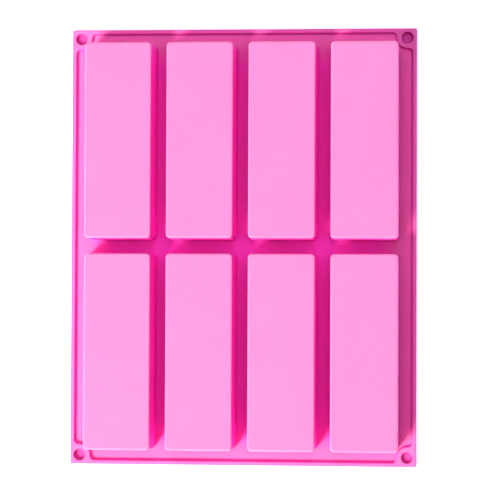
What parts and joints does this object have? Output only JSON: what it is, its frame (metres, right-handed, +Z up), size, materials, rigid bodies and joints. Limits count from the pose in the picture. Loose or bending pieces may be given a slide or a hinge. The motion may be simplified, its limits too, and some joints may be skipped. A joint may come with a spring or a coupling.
{
  "type": "silicone soap mould",
  "caption": "Flexible one-piece silicone soap mould: rows of drafted rectangular bar cavities in a thin deck with a raised rim and a round blind socket in each corner.",
  "frame": {"origin": "middle of the mouth face, which is the face that the mould lies on when it is stored upside down", "axes": "+Z up, from the mouth face to the cup bottoms; +Y along the bars towards the back row; +X across the columns to the right"},
  "size_m": [0.2162, 0.2726, 0.028],
  "materials": {
    "silicone": "satin, slightly translucent"
  },
  "bodies": {
    "root": {"deck_web": "silicone", "cup_back_1": "silicone", "cup_back_2": "silicone", "cup_back_3": "silicone", "cup_back_4": "silicone", "cup_front_1": "silicone", "cup_front_2": "silicone", "cup_front_3": "silicone", "cup_front_4": "silicone", "corner_boss_back_left": "silicone", "corner_boss_back_right": "silicone", "corner_boss_front_left": "silicone", "corner_boss_front_right": "silicone", "rim_back": "silicone", "rim_front": "silicone", "rim_left": "silicone", "rim_right": "silicone"}
  },
  "joints": []
}
